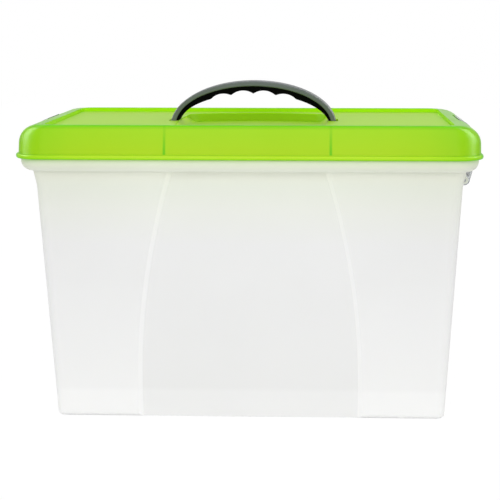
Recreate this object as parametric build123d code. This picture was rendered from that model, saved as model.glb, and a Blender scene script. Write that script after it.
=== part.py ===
"""Portable file box: a drafted plastic tub, a lift-off lid with a fixed carry handle, and two end latches.

Millimetres. +X is the right end, -Y the front, +Z up. The origin is on the table under the tub's centre.
"""

import os
from math import acos, cos, degrees, radians, sin, sqrt, tan

from build123d import *

# Plan of the box. Every ring of the tub and the lid is the lid's lip drawn in by its own inset.
lip_length = 441.0
lip_depth = 237.0
lip_corner = 26.0
corner_tightening = 0.22

# Heights above the table.
waist_height = 231.0
collar_bottom = 245.4
collar_height = 11.7
rim_height = 6.5
lid_height = 31.8
panel_drop = 3.9

# Tub.
wall = 2.2
floor = 2.6
draft = 2.8
waist_inset = 16.0
end_tuck = 2.4
neck_inset = 15.2
waist_corner = 10.0
foot_corner = 8.0
collar_inset = 3.9
collar_roll = 9.0
ledge_roll = 4.0
rim_inset = 7.5
bottom_edge = 5.0
foot_ring = 13.0
foot_height = 1.4
overlap = 1.0

# Hour-glass panels pressed into the tub's front and back walls.
panel_top_half = 71.5
panel_foot_half = 105.0
panel_foot_straight = 30.0
panel_inset = 2.4
panel_step = 5.0

# Flat panels in the tub's end walls, and the rails that file hooks hang on at their top.
rail_inset = 25.5
rail_thickness = 2.4
rail_rise = 5.5
end_panel_half = 78.0
end_panel_foot_inset = 1.0

# Lid.
lid_wall = 2.2
lip_rise = 4.6
lid_seat_gap = 0.3
lip_edge = 1.9
skirt_inset = 2.1
lip_inner_inset = 5.4
front_lean = 7.4
shoulder_length = 22.0
shoulder_drop = 17.5
end_ridge_width = 25.2
ridge_width = 7.8
panel_corner = 9.0
crest_edge = 2.2
crest_corner = 14.0
shoulder_stations = 9
rib_thickness = 1.6
rib_half_spacing = 77.3
rib_height = 19.0
rib_play = 0.4
seat_depth = 2.8
seat_play = 0.6
seat_gap = 0.5
seat_tip_gap = 1.5

# Hollow in the lid under the handle. Its ends are set by the handle's feet.
hollow_end_inset = 8.2
hollow_half_depth = 87.0
hollow_end_bow = 3.0
hollow_side_bow = 15.0
hollow_corner = 18.0
hollow_drop = 8.7
hollow_bend = 9.0
ramp_end_inset = 7.5
ramp_length = 8.0

# Carry handle.
handle_half_span = 83.2
handle_rise = 43.9
handle_foot_drop = 4.5
strap_thickness = 5.0
strap_width = 24.0
strap_edge = 1.2
grip_width = 22.4
grip_depth = 7.3
grip_foot_depth = 1.4
grip_edge = 1.0
grip_stations = 12
finger_pitch = 23.4
finger_radius = 18.0
finger_web = 3.9
finger_count = 4
slot_play = 0.3
slot_outer_gap = 1.8
barb_reach = 3.0
barb_height = 4.6

# End latches and their hinge pins.
latch_half_width = 29.0
latch_thickness = 2.4
arm_inset = 3.0
latch_corner = 9.0
arm_hollow = 0.6
arm_foot_rise = 1.3
arm_top_rise = 6.5
knuckle_radius = 5.5
knuckle_inset = 10.1
knuckle_drop = 16.8
hook_tip_inset = 16.5
snap_radius = 1.3
snap_depth = 0.25
snap_play = 0.5
thumb_radius = 1.5
thumb_half_length = 20.0
thumb_angle = 25.0
latch_pocket_depth = 0.9
latch_border = 7.0
lug_thickness = 3.4
lug_inset = 1.8
lug_drop = 16.5
side_play = 0.4
pin_radius = 1.5
pin_play = 0.05
pin_fit = 0.01
pin_chamfer = 0.3

# Sizes that follow from the ones above.
collar_top = collar_bottom + collar_height
rim_top = collar_top + rim_height
crest_height = collar_top + lid_height
panel_height = crest_height - panel_drop
slope = tan(radians(draft))
base_inset = waist_inset + waist_height * slope
lip_bottom = collar_top + lid_seat_gap
lip_top = lip_bottom + lip_rise
lid_half = lip_length / 2 - skirt_inset
shoulder_x = lid_half - shoulder_length
shoulder_z = crest_height - shoulder_drop
lean_rate = front_lean / (crest_height - lip_top)
seat_half_width = latch_half_width + seat_play
seat_end = lip_length / 2 - hook_tip_inset - seat_tip_gap
rail_centres = lip_length - 2 * rail_inset
knuckle_x = lip_length / 2 - knuckle_inset
knuckle_height = collar_bottom - knuckle_drop
arm_face = lip_length / 2 - arm_inset
strap_inner_half = handle_half_span - strap_thickness
strap_inner_rise = handle_rise - strap_thickness
handle_centre = panel_height - handle_foot_drop
hollow_half_length = handle_half_span - hollow_end_inset
ramp_half = handle_half_span - ramp_end_inset


def ring(inset, height, shrink=0.0):
    """Rounded rectangle: the lip's outline drawn in by inset, its corner tightened by shrink."""
    radius = lip_corner - corner_tightening * inset - shrink
    return Pos(0, 0, height) * RectangleRounded(lip_length - 2 * inset, lip_depth - 2 * inset, radius)


def upright(inset, low, high, shrink=0.0):
    """Block with vertical sides over one ring."""
    return extrude(ring(inset, low, shrink), amount=high - low)


def round_foot(block, radius):
    """Round the edges round the block's lowest face."""
    return fillet(block.faces().sort_by(Axis.Z)[0].edges(), radius)


# ---------------------------------------------------------------- tub


def front_press(depth, reach):
    """Hour-glass block that presses the front wall in, from a depth in the wall, reaching outward."""
    base_y = -(lip_depth / 2 - base_inset) + depth
    outward = (0, -cos(radians(draft)), -sin(radians(draft)))
    face = Plane(origin=(0, base_y, 0), x_dir=(1, 0, 0), z_dir=outward)
    low = panel_foot_straight
    high = collar_bottom + ledge_roll
    bow = (panel_foot_half - panel_top_half) / (collar_bottom - low) ** 2

    def outline(extra):
        foot = panel_foot_half + extra
        middle = foot - bow * ((high - low) / 2) ** 2
        top = foot - bow * (high - low) ** 2
        side = Line((foot, -low), (foot, low))
        side += ThreePointArc((foot, low), (middle, (low + high) / 2), (top, high))
        ends = Line((-top, high), (top, high)) + Line((-foot, -low), (foot, -low))
        return make_face(side + mirror(side, about=Plane.YZ) + ends)

    spread = panel_step * (panel_inset + reach) / panel_inset
    return loft([face.offset(reach) * outline(spread), face.offset(-panel_inset) * outline(0.0)], ruled=True)


def end_press(depth, reach):
    """Block that sets the right end wall's panel in, up to the foot of the file rail, or a depth past it."""
    top = rail_centres / 2 + rail_thickness / 2 - depth
    foot = lip_length / 2 - base_inset - end_tuck - end_panel_foot_inset - depth
    outside = lip_length / 2 - neck_inset + reach
    foot_outside = lip_length / 2 - base_inset + reach
    corners = [(foot, 0), (foot_outside, 0), (outside, collar_bottom), (top, collar_bottom)]
    profile = make_face(Polyline(*corners, close=True))
    return extrude(Plane.XZ * profile, amount=end_panel_half + depth, both=True)


def make_rail():
    """Upright rail along the top of the right end panel."""
    size = (rail_thickness, 2 * end_panel_half, rail_rise + 2 * wall)
    rail = Box(*size, align=(Align.CENTER, Align.CENTER, Align.MIN))
    return Pos(rail_centres / 2, 0, collar_bottom - wall) * rail


def make_lugs():
    """Pair of ears on the right end wall, one each side of the latch, that hold its hinge pin."""
    root = rail_centres / 2
    nose = knuckle_radius - lug_inset
    web = collar_bottom + wall / 2
    corners = [
        (root, knuckle_height - lug_drop),
        (knuckle_x, knuckle_height - nose),
        (knuckle_x + nose / 2, knuckle_height),
        (knuckle_x, web),
        (root, web),
    ]
    profile = make_face(Polyline(*corners, close=True)) + Pos(knuckle_x, knuckle_height) * Circle(nose)
    place = latch_half_width + side_play + lug_thickness
    front_lug = Pos(0, -place + lug_thickness, 0) * extrude(Plane.XZ * profile, amount=lug_thickness)
    return front_lug + mirror(front_lug, about=Plane.XZ)


def tub_ring(end_inset, front_inset, height, depth):
    """Ring of the tub's walls at a height, a depth into them. Its corners tighten towards the foot."""
    length = lip_length - 2 * (end_inset + depth)
    width = lip_depth - 2 * (front_inset + depth)
    corner = foot_corner + (waist_corner - foot_corner) * height / waist_height - depth
    return Pos(0, 0, height) * RectangleRounded(length, width, corner)


def tub_body(depth, low, high):
    """Tub between two heights, a depth into its walls: drafted up to the waist, its ends flared above.

    The end walls stand further in than the front and back, by the tuck.
    """
    low_inset = base_inset - low * slope
    foot = tub_ring(low_inset + end_tuck, low_inset, low, depth)
    waist = tub_ring(waist_inset + end_tuck, waist_inset, waist_height, depth)
    neck = tub_ring(neck_inset, waist_inset - (high - waist_height) * slope, high, depth)
    body = round_foot(loft([foot, waist], ruled=True), bottom_edge - depth)
    return body + loft([waist, neck], ruled=True)


def make_tub():
    outer = tub_body(0, 0, collar_bottom + overlap)
    outer += round_foot(upright(collar_inset, collar_bottom, collar_top), collar_roll)
    outer += upright(rim_inset, collar_top, rim_top)

    ledge = collar_bottom + wall
    cavity = tub_body(wall, floor, ledge)
    cavity += round_foot(upright(rim_inset + wall, ledge, rim_top + overlap, wall), ledge_roll)

    press = front_press(0, 2 * wall) & upright(-wall, -overlap, collar_bottom)
    inner_press = front_press(wall, 3 * wall) & upright(-wall, -overlap, ledge)
    end = end_press(0, 2 * wall)
    inner_end = Pos(0, 0, wall) * end_press(rail_thickness, 5 * wall)
    outer -= press + mirror(press, about=Plane.XZ)
    outer -= end + mirror(end, about=Plane.YZ)
    cavity -= inner_press + mirror(inner_press, about=Plane.XZ)
    cavity -= inner_end + mirror(inner_end, about=Plane.YZ)

    fittings = make_rail() + make_lugs()
    tub = outer - cavity + fittings + mirror(fittings, about=Plane.YZ)
    pin_hole = Cylinder(pin_radius + pin_fit, lip_depth, rotation=(90, 0, 0))
    pin_hole = Pos(knuckle_x, 0, knuckle_height) * pin_hole
    tub -= pin_hole + mirror(pin_hole, about=Plane.YZ)
    return tub - upright(base_inset + foot_ring, 0, foot_height)


# ---------------------------------------------------------------- lid


def lid_ring(inset, angle):
    """Ring of the lid's body, angle in degrees up the shoulder from the end walls to the crest."""
    x = shoulder_x + (shoulder_length - inset) * cos(radians(angle))
    z = shoulder_z + (shoulder_drop - inset) * sin(radians(angle))
    y = lip_depth / 2 - skirt_inset - inset - lean_rate * (z - lip_top)
    over = max(0, z + inset - (crest_height - crest_edge))
    y -= crest_edge - sqrt(crest_edge**2 - over**2)
    radius = lip_corner - corner_tightening * skirt_inset - inset
    radius -= (radius + inset - crest_corner) * sin(radians(angle)) ** 2
    return Pos(0, 0, z) * RectangleRounded(2 * x, 2 * y, radius)


def lid_form(inset, low):
    """Lid body above a height: ends rolled over, front and back leaning in, corners rounded in plan."""
    wide = lip_depth / 2 - skirt_inset - inset - lean_rate * (low - lip_top)
    radius = lip_corner - corner_tightening * skirt_inset - inset
    foot = Pos(0, 0, low) * RectangleRounded(2 * (lid_half - inset), 2 * wide, radius)
    rings = [lid_ring(inset, 90 * station / shoulder_stations) for station in range(shoulder_stations + 1)]
    return loft([foot] + rings, ruled=True)


def hollow_floor(x):
    """Height of the hollow's floor: level in the middle, rising steeply to the panel at both ends."""
    return panel_height - hollow_drop * min(1, max(0, (ramp_half - x) / ramp_length))


def over_floor(grow):
    """Block over the hollow's floor, let down by grow. Its ramps run on past the panel."""
    flat = ramp_half - ramp_length
    low = hollow_floor(0) - grow
    high = handle_centre + handle_rise
    end = flat + (high - low) * ramp_length / hollow_drop
    profile = make_face(Polyline((flat, low), (end, high), (-end, high), (-flat, low), close=True))
    profile = fillet(profile.vertices().group_by(Axis.Y)[0], hollow_bend)
    return extrude(Plane.XZ * profile, amount=lip_depth, both=True)


def hollow(grow):
    """Hollow under the handle, grown for its underside: its four sides bow outward."""
    x = hollow_half_length - hollow_end_bow + grow
    y = hollow_half_depth - hollow_side_bow + grow
    end = ThreePointArc((x, -y), (hollow_half_length + grow, 0), (x, y))
    side = ThreePointArc((x, y), (0, hollow_half_depth + grow), (-x, y))
    outline = make_face(end + mirror(end, about=Plane.YZ) + side + mirror(side, about=Plane.XZ))
    outline = fillet(outline.vertices(), hollow_corner + grow)
    low = panel_height - 2 * hollow_drop
    return extrude(Pos(0, 0, low) * outline, amount=crest_height - low) & over_floor(grow)


def top_panel(grow, height):
    """Block over the sunk panel in the lid's top."""
    length = 2 * (lid_half - end_ridge_width + grow)
    depth = lip_depth - 2 * (skirt_inset + front_lean + ridge_width - grow)
    outline = RectangleRounded(length, depth, panel_corner + grow)
    return extrude(Pos(0, 0, height) * outline, amount=2 * hollow_drop)


def make_ribs():
    """Pair of ribs inside the front wall that centre the lid on the tub's rim."""
    root = -(lip_depth / 2 - skirt_inset - lid_wall / 2)
    tip = -(lip_depth / 2 - rim_inset + rib_play)
    low = lip_bottom + lip_rise / 2
    head = root + lean_rate * rib_height
    corners = [(root, low), (tip, low), (tip, rim_top + rib_play), (head, low + rib_height)]
    profile = make_face(Polyline(*corners, close=True))
    rib = Pos(rib_half_spacing, 0, 0) * extrude(Plane.YZ * profile, amount=rib_thickness / 2, both=True)
    return rib + mirror(rib, about=Plane.YZ)


def latch_seat(grow, low):
    """Space sunk into the right shoulder for the latch to lie in, grown for its underside."""
    length = lip_length / 2 - seat_end
    block = Box(length + grow, 2 * (seat_half_width + grow), crest_height - low)
    block = Pos(seat_end + (length - grow) / 2, 0, (crest_height + low) / 2) * block
    return block - lid_form(seat_depth + grow, low)


def snap_centre():
    """Middle of the right hook's snap bar, just above the floor of the latch's seat."""
    length = shoulder_length - seat_depth
    drop = shoulder_drop - seat_depth
    x = lip_length / 2 - hook_tip_inset + snap_radius
    run = (x - shoulder_x) / length
    z = shoulder_z + drop * sqrt(1 - run**2)
    normal = Vector(run / length, sqrt(1 - run**2) / drop).normalized()
    return Vector(x, z) + normal * (snap_radius - snap_depth)


def make_lid():
    lip = upright(0, lip_bottom, lip_top)
    faces = lip.faces().sort_by(Axis.Z)
    lip = fillet(faces[0].edges() + faces[-1].edges(), lip_edge)
    notch = Box(2 * arm_inset, 2 * seat_half_width, 2 * lip_rise)
    notch = Pos(arm_face - seat_gap + arm_inset, 0, lip_bottom) * notch
    seat = latch_seat(0, lip_top) + notch
    outer = lid_form(0, lip_top) + lip - (seat + mirror(seat, about=Plane.YZ))
    outer -= top_panel(0, panel_height)
    outer -= hollow(0)

    under_seat = latch_seat(lid_wall, lip_top - overlap)
    cavity = lid_form(lid_wall, lip_top - overlap) - (under_seat + mirror(under_seat, about=Plane.YZ))
    cavity += upright(lip_inner_inset, lip_bottom - overlap, lip_top - overlap / 2)
    cavity -= top_panel(lid_wall, panel_height - lid_wall)
    cavity -= hollow(lid_wall)

    ribs = make_ribs()
    lid = outer - cavity + ribs + mirror(ribs, about=Plane.XZ)

    slot_inner = strap_inner_half * sqrt(1 - (handle_foot_drop / strap_inner_rise) ** 2) - slot_play
    slot_outer = handle_half_span + slot_outer_gap
    slot = Box(slot_outer - slot_inner, strap_width + 2 * slot_play, 8 * lid_wall)
    slot = Pos((slot_inner + slot_outer) / 2, 0, panel_height - hollow_drop / 2) * slot
    lid -= slot + mirror(slot, about=Plane.YZ)

    bar = snap_centre()
    groove = Cylinder(snap_radius + snap_play, 2 * seat_half_width, rotation=(90, 0, 0))
    groove = Pos(bar.X, 0, bar.Y) * groove
    return lid - (groove + mirror(groove, about=Plane.YZ))


# ---------------------------------------------------------------- handle


def arch(angle, depth):
    """Point at a depth under the strap's inner face, angle in degrees round from the right foot."""
    x = strap_inner_half * cos(radians(angle))
    z = strap_inner_rise * sin(radians(angle))
    normal = Vector(x / strap_inner_half**2, z / strap_inner_rise**2).normalized()
    return Vector(x, handle_centre + z) - normal * depth


def half_ellipse(half_span, rise):
    return EllipticalCenterArc((0, handle_centre), half_span, rise, arc_size=180)


def make_strap():
    """Stiff outer band: an arch whose legs pass through the lid and end in barbs that turn inward."""
    barb_tip = strap_inner_half - barb_reach
    barb_top = hollow_floor(barb_tip) - lid_wall - slot_play
    foot = barb_top - barb_height
    end = Line((strap_inner_half, handle_centre), (handle_half_span, handle_centre))
    arches = half_ellipse(handle_half_span, handle_rise) + half_ellipse(strap_inner_half, strap_inner_rise)
    outline = make_face(arches + end + mirror(end, about=Plane.YZ))
    band = extrude(Plane.XZ * outline, strap_width / 2, both=True)
    band = fillet(band.edges().filter_by(GeomType.ELLIPSE), strap_edge)

    corners = [
        (handle_half_span, handle_centre),
        (handle_half_span, foot),
        (strap_inner_half, foot),
        (barb_tip, barb_top),
        (strap_inner_half, barb_top),
    ]
    leg = extrude(Plane.XZ * make_face(Polyline(*corners, close=True)), strap_width / 2, both=True)
    return band + leg + mirror(leg, about=Plane.YZ)


def make_grip():
    """Soft grip moulded under the strap: thin at the feet, deep at the crown, with finger grooves."""
    under = []
    for station in range(grip_stations + 1):
        angle = 180 * station / grip_stations
        swell = (grip_depth - grip_foot_depth) * sin(radians(angle))
        under.append(arch(angle, grip_foot_depth + swell))
    foot = Line((strap_inner_half, handle_centre), (strap_inner_half - grip_foot_depth, handle_centre))
    upper = half_ellipse(strap_inner_half, strap_inner_rise)
    profile = make_face(upper + Spline(under) + foot + mirror(foot, about=Plane.YZ))
    grip = extrude(Plane.XZ * profile, amount=grip_width / 2, both=True)
    grip = fillet(grip.edges().filter_by(GeomType.BSPLINE), grip_edge)
    for groove in range(finger_count):
        x = (groove - (finger_count - 1) / 2) * finger_pitch
        centre = arch(degrees(acos(x / strap_inner_half)), finger_web + finger_radius)
        grip -= Pos(centre.X, 0, centre.Y) * Cylinder(finger_radius, strap_width, rotation=(90, 0, 0))
    standing = (Align.CENTER, Align.CENTER, Align.MIN)
    above_panel = Box(2 * handle_half_span, strap_width, handle_rise, align=standing)
    return grip & Pos(0, 0, panel_height + slot_play) * above_panel


# ---------------------------------------------------------------- latches


def latch_line(depth, arm_foot, arm_top):
    """Side of the right latch's arm at a depth under its outer face, from knuckle to hook, and its tip."""
    knuckle_face = knuckle_x + knuckle_radius - depth
    face = arm_face + latch_thickness - depth
    rise = crest_height - seat_depth + snap_radius - snap_depth + latch_thickness - depth - arm_top
    middle = (knuckle_face + arm_hollow * (face - knuckle_face), (knuckle_height + arm_foot) / 2)
    tip = lip_length / 2 - hook_tip_inset
    reach = degrees(acos((tip - shoulder_x) / (face - shoulder_x)))
    roll = EllipticalCenterArc((shoulder_x, arm_top), face - shoulder_x, rise, arc_size=reach)
    line = ThreePointArc((knuckle_face, knuckle_height), middle, (face, arm_foot))
    line += Line((face, arm_foot), (face, arm_top))
    return line + roll, roll @ 1, rise


def make_latch():
    """Right latch: hinge knuckle low on the end wall, arm round the lip, hook over the lid's shoulder."""
    arm_foot = collar_bottom + arm_foot_rise
    arm_top = lip_top + arm_top_rise
    outer, outer_tip, rise = latch_line(0, arm_foot, arm_top)
    inner, inner_tip, _ = latch_line(latch_thickness, arm_foot, arm_top)
    knuckle_out = knuckle_x + knuckle_radius
    knuckle_in = knuckle_out - latch_thickness
    ends = Line(outer_tip, inner_tip) + Line((knuckle_out, knuckle_height), (knuckle_in, knuckle_height))
    profile = make_face(outer + inner + ends)
    profile += Pos(knuckle_x, knuckle_height) * Circle(knuckle_radius)
    bar = snap_centre()
    profile += Pos(bar.X, bar.Y) * Circle(snap_radius)
    latch = extrude(Plane.XZ * profile, amount=latch_half_width, both=True)

    height = arm_top + rise - knuckle_height
    outline = Pos(0, knuckle_height) * RectangleRounded(2 * latch_half_width, 2 * height, latch_corner)
    latch &= extrude(Plane.YZ * outline, amount=lip_length)

    outer_face = arm_face + latch_thickness
    thumb_x = shoulder_x + (outer_face - shoulder_x) * cos(radians(thumb_angle))
    thumb_z = arm_top + rise * sin(radians(thumb_angle))
    thumb = Cylinder(thumb_radius, 2 * thumb_half_length, rotation=(90, 0, 0))
    latch += Pos(thumb_x, 0, thumb_z) * thumb

    pocket_height = arm_top - arm_foot
    pocket_outline = RectangleRounded(2 * (latch_half_width - latch_border), pocket_height, latch_border / 2)
    pocket = extrude(Plane.YZ * pocket_outline, amount=latch_thickness)
    latch -= Pos(outer_face - latch_pocket_depth, 0, (arm_foot + arm_top) / 2) * pocket

    bore = Cylinder(pin_radius + pin_play, 4 * latch_half_width, rotation=(90, 0, 0))
    return latch - Pos(knuckle_x, 0, knuckle_height) * bore


def make_pin():
    length = 2 * (latch_half_width + side_play + lug_thickness)
    pin = Cylinder(pin_radius, length, rotation=(90, 0, 0))
    return Pos(knuckle_x, 0, knuckle_height) * chamfer(pin.edges(), pin_chamfer)


latch = make_latch()
pin = make_pin()
parts = {
    "tub": make_tub(),
    "lid": make_lid(),
    "handle_strap": make_strap(),
    "handle_grip": make_grip(),
    "latch_right": latch,
    "latch_left": mirror(latch, about=Plane.YZ),
    "latch_pin_right": pin,
    "latch_pin_left": mirror(pin, about=Plane.YZ),
}

os.makedirs("parts", exist_ok=True)
for name, solid in parts.items():
    export_step(solid, f"parts/{name}.step")
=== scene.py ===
from math import radians

import bpy
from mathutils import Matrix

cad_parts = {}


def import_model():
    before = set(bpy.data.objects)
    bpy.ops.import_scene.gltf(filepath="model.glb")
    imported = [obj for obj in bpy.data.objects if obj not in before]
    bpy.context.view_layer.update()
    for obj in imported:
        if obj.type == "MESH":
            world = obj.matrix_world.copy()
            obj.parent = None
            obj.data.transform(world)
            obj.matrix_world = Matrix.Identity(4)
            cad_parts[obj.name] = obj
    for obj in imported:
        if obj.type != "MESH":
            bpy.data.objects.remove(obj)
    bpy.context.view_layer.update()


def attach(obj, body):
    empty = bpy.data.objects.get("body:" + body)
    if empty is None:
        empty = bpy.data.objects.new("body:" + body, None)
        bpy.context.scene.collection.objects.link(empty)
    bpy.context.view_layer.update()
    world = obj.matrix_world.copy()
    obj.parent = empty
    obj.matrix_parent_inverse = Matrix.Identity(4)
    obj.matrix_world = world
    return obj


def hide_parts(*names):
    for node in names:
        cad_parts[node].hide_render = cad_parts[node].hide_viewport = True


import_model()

# ---------------------------------------------------------------- camera
# A long lens at standing height, a little above the lid and a little to the right of the middle.
look_down = radians(90 - 10.91)
look_left = radians(1.91)
bpy.ops.object.select_all(action="DESELECT")
bpy.ops.object.camera_add(location=(0.0710, -1.2583, 0.3942), rotation=(look_down, 0, look_left))
camera = bpy.context.object
camera.data.sensor_width = 36
camera.data.lens = 89.39
camera.data.shift_x = -0.0654
camera.data.shift_y = -0.0013
bpy.context.scene.camera = camera

# ---------------------------------------------------------------- tub
# One injection-moulded tub of frosted polypropylene, milky enough that light comes through its walls and
# nothing behind them is seen sharply. Its skin is fine satin spark texture, and its edges are painted
# lighter, a painted highlight.


def new_group(name, inputs, outputs):
    """Empty shader node group with float inputs at their usual values, and its ends."""
    group = bpy.data.node_groups.new(name, "ShaderNodeTree")
    for socket, value in inputs.items():
        made = group.interface.new_socket(socket, in_out="INPUT", socket_type="NodeSocketFloat")
        made.default_value = value
    for socket in outputs:
        group.interface.new_socket(socket, in_out="OUTPUT", socket_type="NodeSocketFloat")
    return group, group.nodes.new("NodeGroupInput"), group.nodes.new("NodeGroupOutput")


def add(tree, kind, **inputs):
    """Node with its input sockets' values. A key names a socket, with _ for each space."""
    node = tree.nodes.new(kind)
    for key, value in inputs.items():
        node.inputs[key.replace("_", " ")].default_value = value
    return node


def maths(tree, operation, first, second=None):
    """Result of one operation on value sockets. The second may be a plain number."""
    node = tree.nodes.new("ShaderNodeMath")
    node.operation = operation
    tree.links.new(first, node.inputs[0])
    if isinstance(second, float):
        node.inputs[1].default_value = second
    elif second is not None:
        tree.links.new(second, node.inputs[1])
    return node.outputs[0]


# Skin of a moulding: fine spark grain, a slower waviness where the melt cooled unevenly, and cloudy tone.
wave_to_grain = 2.2
usual_scales = {"Grain Scale": 1500.0, "Wave Scale": 26.0, "Cloud Scale": 9.0}
skin, skin_in, skin_out = new_group("moulded_skin", usual_scales, ["Height", "Tone", "Gloss"])
place = add(skin, "ShaderNodeTexCoord")
grain = add(skin, "ShaderNodeTexNoise", Detail=3.0, Roughness=0.55)
wave = add(skin, "ShaderNodeTexNoise", Detail=1.0, Roughness=0.4)
cloud = add(skin, "ShaderNodeTexNoise", Detail=2.0, Roughness=0.5)
for noise, socket in zip((grain, wave, cloud), usual_scales):
    skin.links.new(place.outputs["Object"], noise.inputs["Vector"])
    skin.links.new(skin_in.outputs[socket], noise.inputs["Scale"])
wave_height = maths(skin, "MULTIPLY", wave.outputs["Fac"], wave_to_grain)
skin.links.new(maths(skin, "ADD", grain.outputs["Fac"], wave_height), skin_out.inputs["Height"])
skin.links.new(cloud.outputs["Fac"], skin_out.inputs["Tone"])
skin.links.new(wave.outputs["Fac"], skin_out.inputs["Gloss"])

# Edges, for rubbed wear and for painted highlight and shade: how far the surface turns within a short reach,
# near nothing on flats and one on crisp edges.
wear_and_light_edge_group, edge_group_in, edge_group_out = new_group("edge_wear_and_light", {"Reach": 0.001, "Strength": 6.0}, ["Edge"])
round_normal = add(wear_and_light_edge_group, "ShaderNodeBevel")
round_normal.samples = 6
flat_normal = add(wear_and_light_edge_group, "ShaderNodeNewGeometry")
agree = wear_and_light_edge_group.nodes.new("ShaderNodeVectorMath")
agree.operation = "DOT_PRODUCT"
turned = wear_and_light_edge_group.nodes.new("ShaderNodeMath")
turned.operation = "SUBTRACT"
turned.inputs[0].default_value = 1.0
strong = wear_and_light_edge_group.nodes.new("ShaderNodeMath")
strong.operation = "MULTIPLY"
strong.use_clamp = True
wear_and_light_edge_group.links.new(edge_group_in.outputs["Reach"], round_normal.inputs["Radius"])
wear_and_light_edge_group.links.new(round_normal.outputs["Normal"], agree.inputs[0])
wear_and_light_edge_group.links.new(flat_normal.outputs["Normal"], agree.inputs[1])
wear_and_light_edge_group.links.new(agree.outputs["Value"], turned.inputs[1])
wear_and_light_edge_group.links.new(turned.outputs[0], strong.inputs[0])
wear_and_light_edge_group.links.new(edge_group_in.outputs["Strength"], strong.inputs[1])
wear_and_light_edge_group.links.new(strong.outputs[0], edge_group_out.inputs["Edge"])


def group_node(tree, group, **values):
    """A shader node group in use, with its input values."""
    node = tree.nodes.new("ShaderNodeGroup")
    node.node_tree = group
    for socket, value in values.items():
        node.inputs[socket.replace("_", " ")].default_value = value
    return node


def colour_mix(tree, blend, low, high):
    """Mix node for two colours, and the colour it gives. Each is a tuple or a colour socket."""
    node = tree.nodes.new("ShaderNodeMix")
    node.data_type = "RGBA"
    node.blend_type = blend
    sockets = [socket for socket in node.inputs if socket.type == "RGBA"]
    for colour, socket in zip((low, high), sockets):
        if isinstance(colour, tuple):
            socket.default_value = colour
        else:
            tree.links.new(colour, socket)
    return node, [output for output in node.outputs if output.type == "RGBA"][0]


def blend_colour(tree, factor, low, high):
    """Colour between two, by a value socket."""
    node, colour = colour_mix(tree, "MIX", low, high)
    tree.links.new(factor, node.inputs["Factor"])
    return colour


def tint(tree, colour, by):
    """A colour multiplied by another."""
    node, tinted = colour_mix(tree, "MULTIPLY", colour, by)
    node.inputs["Factor"].default_value = 1.0
    return tinted


def ramp_value(tree, value, from_low, from_high, to_low, to_high):
    """A value that runs straight from one number to another between two places, and level beyond them."""
    node = tree.nodes.new("ShaderNodeMapRange")
    for index, number in enumerate((from_low, from_high, to_low, to_high), start=1):
        node.inputs[index].default_value = number
    tree.links.new(value, node.inputs["Value"])
    return node.outputs["Result"]


def past(tree, value, start, end):
    """One where the value is past end, and nothing where it hasn't come to start."""
    return ramp_value(tree, value, start, end, 0.0, 1.0)


def before(tree, value, start, end):
    """One where the value hasn't come to start, and nothing where it is past end."""
    return ramp_value(tree, value, start, end, 1.0, 0.0)


def from_noise(tree, noise, low, high):
    """Noise, which keeps near its middle, stretched between two numbers."""
    return ramp_value(tree, noise, 0.3, 0.7, low, high)


def new_material(name):
    """A node material, its node tree and its shader."""
    material = bpy.data.materials.new(name)
    material.use_nodes = True
    return material, material.node_tree, material.node_tree.nodes["Principled BSDF"]


def roughen(tree, shader, height, strength, depth):
    """Bump from a height onto a shader's normal."""
    bump = add(tree, "ShaderNodeBump", Strength=strength, Distance=depth)
    tree.links.new(height, bump.inputs["Height"])
    tree.links.new(bump.outputs["Normal"], shader.inputs["Normal"])


def glow_within(shader, weight, reach, spread):
    """Light that wanders inside the plastic and leaves nearby. Spread is how far each colour goes."""
    shader.inputs["Subsurface Weight"].default_value = weight
    shader.inputs["Subsurface Scale"].default_value = reach
    shader.inputs["Subsurface Radius"].default_value = spread


def parts_of(tree, vector):
    """The X, Y and Z parts of a vector socket, as value sockets."""
    node = add(tree, "ShaderNodeSeparateXYZ")
    tree.links.new(vector, node.inputs[0])
    return node.outputs


def size_of(tree, value):
    """A value socket without its sign."""
    return maths(tree, "ABSOLUTE", value)


def product(tree, *values):
    """Value sockets multiplied together."""
    result = values[0]
    for value in values[1:]:
        result = maths(tree, "MULTIPLY", result, value)
    return result


def colour_steps(tree, value, stops):
    """Colour that runs through stops, each a place from 0 to 1 and a colour."""
    ramp = tree.nodes.new("ShaderNodeValToRGB")
    elements = ramp.color_ramp.elements
    while len(elements) < len(stops):
        elements.new(0.5)
    for element, (place, colour) in zip(elements, stops):
        element.position = place
        element.color = colour
    tree.links.new(value, ramp.inputs["Fac"])
    return ramp.outputs["Color"]


def dress(node, material):
    """Give a CAD node one material all over."""
    for slot in bpy.data.objects[node].material_slots:
        slot.material = material


# The long walls' pressed-in panels: half their width at the foot, how high their sides stay straight, how
# fast the sides draw in with the square of the height above that, and how wide their slanting step is.
panel_foot_half = 0.105
panel_foot_straight = 0.030
panel_bow = 0.722
panel_step = 0.005
wall_height = 0.26

frosted, tree, shader = new_material("frosted polypropylene")
grain = group_node(tree, skin, Grain_Scale=1300.0, Wave_Scale=18.0, Cloud_Scale=7.0)
edges = group_node(tree, wear_and_light_edge_group, Reach=0.0012, Strength=5.0)
cloudy = from_noise(tree, grain.outputs["Tone"], 0.0, 1.0)
milk = blend_colour(tree, cloudy, (0.838, 0.84, 0.836, 1), (0.858, 0.86, 0.856, 1))
axes = parts_of(tree, add(tree, "ShaderNodeTexCoord").outputs["Object"])
sideways = size_of(tree, axes["X"])
outward = size_of(tree, axes["Y"])
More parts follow.
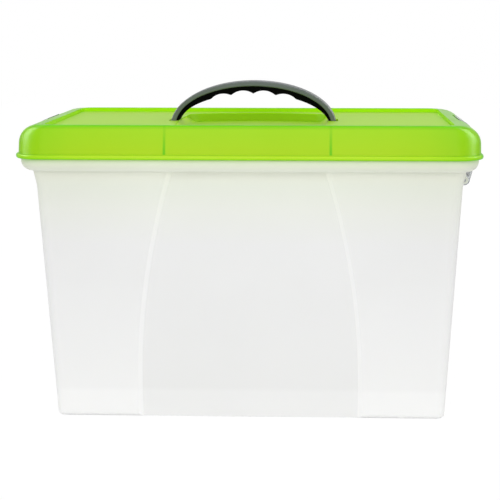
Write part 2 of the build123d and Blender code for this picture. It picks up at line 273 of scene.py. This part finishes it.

# Painted shade makes the milk greyer at the corners near the mouth. Painted light makes it whiter along the
# slanting sides of the panels and beyond them towards the foot.
rise = tree.nodes.new("ShaderNodeMath")
rise.operation = "SUBTRACT"
rise.inputs[1].default_value = panel_foot_straight
rise.use_clamp = True
tree.links.new(axes["Z"], rise.inputs[0])
drawn_in = maths(tree, "MULTIPLY", maths(tree, "MULTIPLY", rise.outputs[0], rise.outputs[0]), panel_bow)
from_middle = maths(tree, "ADD", sideways, drawn_in)
step_end = panel_foot_half + panel_step
past_panel = past(tree, from_middle, panel_foot_half, panel_foot_half + 0.0012)
before_flat = before(tree, from_middle, step_end - 0.001, step_end)
on_long_wall = past(tree, outward, 0.088, 0.092)
near_foot = before(tree, axes["Z"], 0.02, 0.14)
near_mouth = past(tree, axes["Z"], 0.13, 0.22)
near_corner = past(tree, sideways, 0.09, 0.18)
below_collar = ramp_value(tree, axes["Z"], 0.2425, 0.2445, 0.6, 0.0)
painted_slant_light = product(tree, past_panel, before_flat, on_long_wall, below_collar)
milk = blend_colour(tree, product(tree, near_mouth, near_corner), milk, (0.81, 0.81, 0.805, 1))
milk = blend_colour(tree, product(tree, past_panel, near_foot), milk, (0.915, 0.917, 0.913, 1))
milk = blend_colour(tree, painted_slant_light, milk, (0.96, 0.962, 0.957, 1))
# Painted highlight: the edges are painted lighter.
milk = blend_colour(tree, edges.outputs["Edge"], milk, (0.97, 0.972, 0.968, 1))

# Under the lid the wall is painted with the lime light that shines down through the lip, with painted shade
# under the lip and a painted lighter band under the collar. Painted light makes it palest at the foot.
painted_lime_light = colour_steps(
    tree,
    past(tree, axes["Z"], 0.0, wall_height),
    (
        (0.0, (1.0, 1.0, 1.0, 1)),
        (0.67, (1.0, 1.0, 1.0, 1)),
        (0.80, (0.985, 1.0, 0.94, 1)),
        (0.89, (0.95, 0.985, 0.88, 1)),
        (0.925, (0.955, 0.98, 0.86, 1)),
        (0.948, (1.04, 1.07, 0.95, 1)),
        (0.962, (0.92, 0.97, 0.80, 1)),
        (0.98, (0.89, 0.965, 0.74, 1)),
        (1.0, (0.74, 0.93, 0.42, 1)),
    ),
)
painted_foot_light = colour_steps(
    tree,
    past(tree, axes["Z"], 0.0, 0.1),
    (
        (0.0, (1.06, 1.06, 1.055, 1)),
        (0.26, (1.04, 1.04, 1.035, 1)),
        (0.31, (1.005, 1.005, 1.0, 1)),
        (1.0, (1.0, 1.0, 1.0, 1)),
    ),
)
milk = tint(tree, tint(tree, milk, painted_lime_light), painted_foot_light)
tree.links.new(milk, shader.inputs["Base Color"])
tree.links.new(from_noise(tree, grain.outputs["Gloss"], 0.46, 0.54), shader.inputs["Roughness"])
shader.inputs["Specular IOR Level"].default_value = 0.25
roughen(tree, shader, grain.outputs["Height"], 0.25, 0.00006)
glow_within(shader, 0.15, 0.002, (1.0, 1.0, 0.9))
dress("tub", frosted)

# ---------------------------------------------------------------- hinge pins
# Short 3 mm steel wires pressed through the tub's ears, drawn bright, with fine draw lines along their
# length.
steel, tree, shader = new_material("bright steel wire")
place = add(tree, "ShaderNodeTexCoord")
along = add(tree, "ShaderNodeMapping", Scale=(1.0, 0.02, 1.0))
lines = add(tree, "ShaderNodeTexNoise", Scale=5200.0, Detail=2.0)
tree.links.new(place.outputs["Object"], along.inputs["Vector"])
tree.links.new(along.outputs["Vector"], lines.inputs["Vector"])
edges = group_node(tree, wear_and_light_edge_group, Reach=0.0004, Strength=4.0)
bright = blend_colour(tree, lines.outputs["Fac"], (0.46, 0.47, 0.49, 1), (0.62, 0.63, 0.64, 1))
bright = blend_colour(tree, edges.outputs["Edge"], bright, (0.74, 0.75, 0.76, 1))
tree.links.new(bright, shader.inputs["Base Color"])
shader.inputs["Metallic"].default_value = 1.0
tree.links.new(from_noise(tree, lines.outputs["Fac"], 0.24, 0.4), shader.inputs["Roughness"])
roughen(tree, shader, lines.outputs["Fac"], 0.2, 0.00002)
dress("latch_pin_right", steel)
dress("latch_pin_left", steel)

# ---------------------------------------------------------------- latches
# Two clear polystyrene latches, each moulded in one piece with its knuckle, thumb bead and snap bar. The
# edges are painted dark blue-grey, a painted reflection, and the flats are nearly clear.
clear, tree, shader = new_material("clear polystyrene")
grain = group_node(tree, skin, Grain_Scale=420.0, Wave_Scale=60.0, Cloud_Scale=30.0)
edges = group_node(tree, wear_and_light_edge_group, Reach=0.0014, Strength=10.0)
glass = blend_colour(tree, edges.outputs["Edge"], (0.66, 0.69, 0.72, 1), (0.08, 0.09, 0.105, 1))
tree.links.new(glass, shader.inputs["Base Color"])
tree.links.new(from_noise(tree, grain.outputs["Tone"], 0.06, 0.13), shader.inputs["Roughness"])
tree.links.new(ramp_value(tree, edges.outputs["Edge"], 0.0, 1.0, 0.55, 1.0), shader.inputs["Alpha"])
roughen(tree, shader, grain.outputs["Height"], 0.12, 0.00004)
dress("latch_right", clear)
dress("latch_left", clear)

# ---------------------------------------------------------------- lid
# Lime polypropylene lid, moulded in one piece with its lip, its ribs and the hollow under the handle. Its
# dye is see-through. Its deeper green towards the ends and along the ribs behind the walls is painted shade.
lip_foot = 0.256
lip_top = 0.2620
lid_top = 0.290
half_length = 0.2205
panel_half_length = 0.1938
panel_half_depth = 0.1016
border = 0.0008
rib_place = 0.0773
rib_rise = 0.024


def finished_copy(node, name, body):
    """A CAD node's shape as one closed skin, shaded smooth up to its crisp edges, standing for the node."""
    bpy.ops.object.select_all(action="DESELECT")
    piece = bpy.data.objects[node].copy()
    piece.data = piece.data.copy()
    piece.name = name
    bpy.context.collection.objects.link(piece)
    piece.parent = None
    bpy.context.view_layer.objects.active = piece
    piece.select_set(True)
    bpy.ops.mesh.customdata_custom_splitnormals_clear()
    bpy.ops.object.mode_set(mode="EDIT")
    bpy.ops.mesh.select_all(action="SELECT")
    bpy.ops.mesh.remove_doubles(threshold=0.00001)
    bpy.ops.mesh.mark_sharp(clear=True)
    bpy.ops.object.mode_set(mode="OBJECT")
    bpy.ops.object.shade_smooth_by_angle(angle=radians(32))
    weighted = piece.modifiers.new("even shading", "WEIGHTED_NORMAL")
    weighted.mode = "FACE_AREA_WITH_ANGLE"
    weighted.keep_sharp = True
    bpy.ops.object.modifier_apply(modifier=weighted.name)
    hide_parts(node)
    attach(piece, body)
    return piece


lid = finished_copy("lid", "lime_lid", "lid")

lime, tree, shader = new_material("lime polypropylene")
grain = group_node(tree, skin, Grain_Scale=1500.0, Wave_Scale=22.0, Cloud_Scale=8.0)
edges = group_node(tree, wear_and_light_edge_group, Reach=0.0009, Strength=4.0)
cloudy = from_noise(tree, grain.outputs["Tone"], 0.0, 1.0)
dye_and_painted_light = blend_colour(tree, cloudy, (0.395, 0.655, 0.003, 1), (0.415, 0.675, 0.005, 1))
axes = parts_of(tree, add(tree, "ShaderNodeTexCoord").outputs["Object"])
sideways = size_of(tree, axes["X"])
outward = size_of(tree, axes["Y"])

# Painted by height: a pale band across the lip's middle and a paler upper front are painted highlight, and a
# deeper green along the lip's rim and the crest is painted shade. Painted shade makes the ends a deeper
# green.
painted_highlight_and_shade_by_height = colour_steps(
    tree,
    past(tree, axes["Z"], lip_foot, lid_top),
    (
        (0.0, (0.72, 1.06, 0.4, 1)),
        (0.07, (0.72, 1.06, 0.4, 1)),
        (0.10, (1.16, 1.15, 6.0, 1)),
        (0.155, (1.16, 1.15, 6.0, 1)),
        (0.18, (0.9, 1.0, 0.6, 1)),
        (0.21, (1.0, 1.0, 1.0, 1)),
        (0.86, (0.9, 1.04, 1.6, 1)),
        (0.90, (0.7, 0.97, 1.0, 1)),
    ),
)
painted_end_shade = colour_steps(
    tree,
    past(tree, sideways, 0.13, half_length),
    (
        (0.0, (1.0, 1.0, 1.0, 1)),
        (0.4, (0.95, 0.99, 0.8, 1)),
        (0.75, (0.78, 0.94, 0.4, 1)),
        (0.95, (0.70, 0.93, 0.35, 1)),
        (0.975, (0.40, 0.84, 0.2, 1)),
    ),
)
dye_and_painted_light = tint(tree, tint(tree, dye_and_painted_light, painted_highlight_and_shade_by_height), painted_end_shade)

# The ridge round the sunk panel: its inner wall is painted bright, painted light that comes through the thin
# ridge, and its crest and crisp edges are painted a deep green, painted shade.
facing = parts_of(tree, add(tree, "ShaderNodeNewGeometry").outputs["Normal"])
upright = before(tree, size_of(tree, facing["Z"]), 0.6, 0.8)
near_top = past(tree, axes["Z"], 0.284, 0.2844)
inside_front = before(tree, outward, panel_half_depth, panel_half_depth + border)
inside_end = before(tree, sideways, panel_half_length, panel_half_length + border)
ridge_wall = product(tree, upright, near_top, inside_front, inside_end)
outside_front = past(tree, outward, panel_half_depth, panel_half_depth + border)
crest = product(tree, outside_front, past(tree, axes["Z"], 0.2872, 0.2878))
on_edge = product(tree, edges.outputs["Edge"], ramp_value(tree, axes["Z"], 0.268, 0.272, 0.0, 0.6))
dye_and_painted_light = blend_colour(tree, ridge_wall, dye_and_painted_light, (0.43, 0.86, 0.002, 1))
dye_and_painted_light = blend_colour(tree, crest, dye_and_painted_light, (0.19, 0.68, 0.002, 1))
dye_and_painted_light = blend_colour(tree, on_edge, dye_and_painted_light, (0.20, 0.68, 0.002, 1))

# Painted shade: the ribs behind the front and back walls are painted as two soft deeper-green lines,
# stronger towards the lip.
off_rib = size_of(tree, maths(tree, "SUBTRACT", sideways, rib_place))
across_rib = before(tree, off_rib, 0.0007, 0.0017)
up_rib = ramp_value(tree, axes["Z"], lip_top, lip_top + rib_rise, 1.0, 0.3)
above_lip = past(tree, axes["Z"], lip_top, lip_top + 0.0008)
on_wall = past(tree, outward, 0.104, 0.106)
on_rib = product(tree, across_rib, up_rib, above_lip, on_wall)
dye_and_painted_light = blend_colour(tree, on_rib, dye_and_painted_light, (0.13, 0.56, 0.001, 1))

# The sunk panel is etched and looks paler. The walls of the hollow under the handle are painted bright,
# painted light that comes through their thin plastic.
below_ridge = before(tree, axes["Z"], 0.286, 0.2864)
above_skirt = past(tree, axes["Z"], 0.27, 0.272)
on_panel = product(tree, inside_front, inside_end, below_ridge, above_skirt)
level = before(tree, upright, 0.0, 1.0)
in_depth = before(tree, outward, 0.049, 0.051)
in_length = before(tree, sideways, 0.0795, 0.082)
below_panel = before(tree, axes["Z"], 0.2838, 0.2844)
hollow_wall = product(tree, in_depth, in_length, below_panel, upright)
dye_and_painted_light = blend_colour(tree, product(tree, on_panel, level), dye_and_painted_light, (0.425, 0.775, 0.03, 1))
dye_and_painted_light = blend_colour(tree, hollow_wall, dye_and_painted_light, (0.66, 1.0, 0.002, 1))
tree.links.new(dye_and_painted_light, shader.inputs["Base Color"])

# The walls are polished, and the crest and the sunk panel are matt.
polish = from_noise(tree, grain.outputs["Gloss"], 0.30, 0.36)
matt = ramp_value(tree, maths(tree, "MAXIMUM", on_panel, crest), 0.0, 1.0, 0.3, 0.48)
tree.links.new(maths(tree, "MAXIMUM", polish, matt), shader.inputs["Roughness"])
shader.inputs["Specular IOR Level"].default_value = 0.14
roughen(tree, shader, grain.outputs["Height"], 0.2, 0.00005)
glow_within(shader, 0.12, 0.002, (0.7, 1.0, 0.02))
lid.data.materials.clear()
lid.data.materials.append(lime)

# ---------------------------------------------------------------- handle strap
# Stiff grey polypropylene band, bent over the hollow and snapped through two slots in the lid. It is satin,
# with fine spark grain, and its rims are painted paler, a painted highlight.
grey, tree, shader = new_material("grey polypropylene")
grain = group_node(tree, skin, Grain_Scale=1700.0, Wave_Scale=40.0, Cloud_Scale=26.0)
edges = group_node(tree, wear_and_light_edge_group, Reach=0.0006, Strength=3.5)
cloudy = from_noise(tree, grain.outputs["Tone"], 0.0, 1.0)
slate = blend_colour(tree, cloudy, (0.12, 0.135, 0.138, 1), (0.135, 0.152, 0.155, 1))
slate = blend_colour(tree, edges.outputs["Edge"], slate, (0.30, 0.33, 0.32, 1))
tree.links.new(slate, shader.inputs["Base Color"])
tree.links.new(from_noise(tree, grain.outputs["Gloss"], 0.36, 0.46), shader.inputs["Roughness"])
roughen(tree, shader, grain.outputs["Height"], 0.3, 0.00006)
dress("handle_strap", grey)

# ---------------------------------------------------------------- handle grip
# Soft black rubber moulded under the strap, with four finger grooves. It is matt, with a leathery fine skin
# and a slight shine where fingers rub it.
black, tree, shader = new_material("black rubber")
grain = group_node(tree, skin, Grain_Scale=900.0, Wave_Scale=60.0, Cloud_Scale=40.0)
edges = group_node(tree, wear_and_light_edge_group, Reach=0.001, Strength=3.0)
soot = blend_colour(tree, grain.outputs["Tone"], (0.0008, 0.0008, 0.0008, 1), (0.002, 0.002, 0.002, 1))
soot = blend_colour(tree, edges.outputs["Edge"], soot, (0.004, 0.004, 0.004, 1))
tree.links.new(soot, shader.inputs["Base Color"])
tree.links.new(ramp_value(tree, edges.outputs["Edge"], 0.0, 1.0, 0.7, 0.5), shader.inputs["Roughness"])
shader.inputs["Specular IOR Level"].default_value = 0.03
roughen(tree, shader, grain.outputs["Height"], 0.5, 0.0001)
dress("handle_grip", black)

# ---------------------------------------------------------------- floor
# White paper sweep. The camera sees it as plain white that still holds the box's soft shadow.
own_light = 0.94
bpy.ops.object.select_all(action="DESELECT")
bpy.ops.mesh.primitive_plane_add(size=8, location=(0, 0, 0))
table = bpy.context.object
table.name = "white_table"
paper, tree, shader = new_material("white paper")
fibre = add(tree, "ShaderNodeTexNoise", Scale=300.0, Detail=2.0)
tone = blend_colour(tree, fibre.outputs["Fac"], (0.88, 0.88, 0.88, 1), (0.9, 0.9, 0.9, 1))
tree.links.new(tone, shader.inputs["Base Color"])
shader.inputs["Roughness"].default_value = 0.9
shader.inputs["Specular IOR Level"].default_value = 0.0
glow = add(tree, "ShaderNodeEmission", Strength=1.02)
path = add(tree, "ShaderNodeLightPath")
mix = add(tree, "ShaderNodeMixShader")
tree.links.new(maths(tree, "MULTIPLY", path.outputs["Is Camera Ray"], own_light), mix.inputs["Fac"])
tree.links.new(shader.outputs[0], mix.inputs[1])
tree.links.new(glow.outputs[0], mix.inputs[2])
tree.links.new(mix.outputs[0], tree.nodes["Material Output"].inputs["Surface"])
table.data.materials.append(paper)

# ---------------------------------------------------------------- light
# A white sweep behind the box in an otherwise grey studio, so glossy curves keep their colour and show one
# bright side. Even light falls from all round, a broad lamp stands in front, and a softbox hangs at each
# side.
white = (1, 1, 1, 1)
world = bpy.data.worlds.new("studio")
bpy.context.scene.world = world
world.use_nodes = True
tree = world.node_tree
sky = tree.nodes["Background"]
sky.inputs["Color"].default_value = white
sky.inputs["Strength"].default_value = 0.81
backdrop = add(tree, "ShaderNodeBackground", Color=white, Strength=1.0)
studio = add(tree, "ShaderNodeBackground", Strength=1.0)
direction = parts_of(tree, add(tree, "ShaderNodeTexCoord").outputs["Generated"])
studio_grey = blend_colour(tree, past(tree, direction["Y"], 0.7, 0.92), (0.24, 0.24, 0.24, 1), white)
tree.links.new(studio_grey, studio.inputs["Color"])
path = add(tree, "ShaderNodeLightPath")
mirrored = maths(tree, "MAXIMUM", path.outputs["Is Glossy Ray"], path.outputs["Is Transmission Ray"])
in_mirror = add(tree, "ShaderNodeMixShader")
tree.links.new(mirrored, in_mirror.inputs["Fac"])
tree.links.new(sky.outputs[0], in_mirror.inputs[1])
tree.links.new(studio.outputs[0], in_mirror.inputs[2])
seen = add(tree, "ShaderNodeMixShader")
tree.links.new(path.outputs["Is Camera Ray"], seen.inputs["Fac"])
tree.links.new(in_mirror.outputs[0], seen.inputs[1])
tree.links.new(backdrop.outputs[0], seen.inputs[2])
tree.links.new(seen.outputs[0], tree.nodes["World Output"].inputs["Surface"])


def softbox(name, place, turn, width, height, energy):
    """Rectangular lamp."""
    bpy.ops.object.light_add(type="AREA", location=place, rotation=turn)
    lamp = bpy.context.object
    lamp.name = name
    lamp.data.shape = "RECTANGLE"
    lamp.data.size = width
    lamp.data.size_y = height
    lamp.data.energy = energy
    return lamp


softbox("front_lamp", (0.1, -2.2, 1.5), (radians(62), 0, radians(2)), 1.8, 1.2, 15)
for side, name in ((-1, "left_softbox"), (1, "right_softbox")):
    turn = (radians(52), 0, side * radians(88))
    strip = softbox(name, (side * 1.25, -0.05, 0.95), turn, 0.8, 1.1, 30)
    strip.visible_diffuse = False

bpy.context.scene.view_settings.view_transform = "Standard"
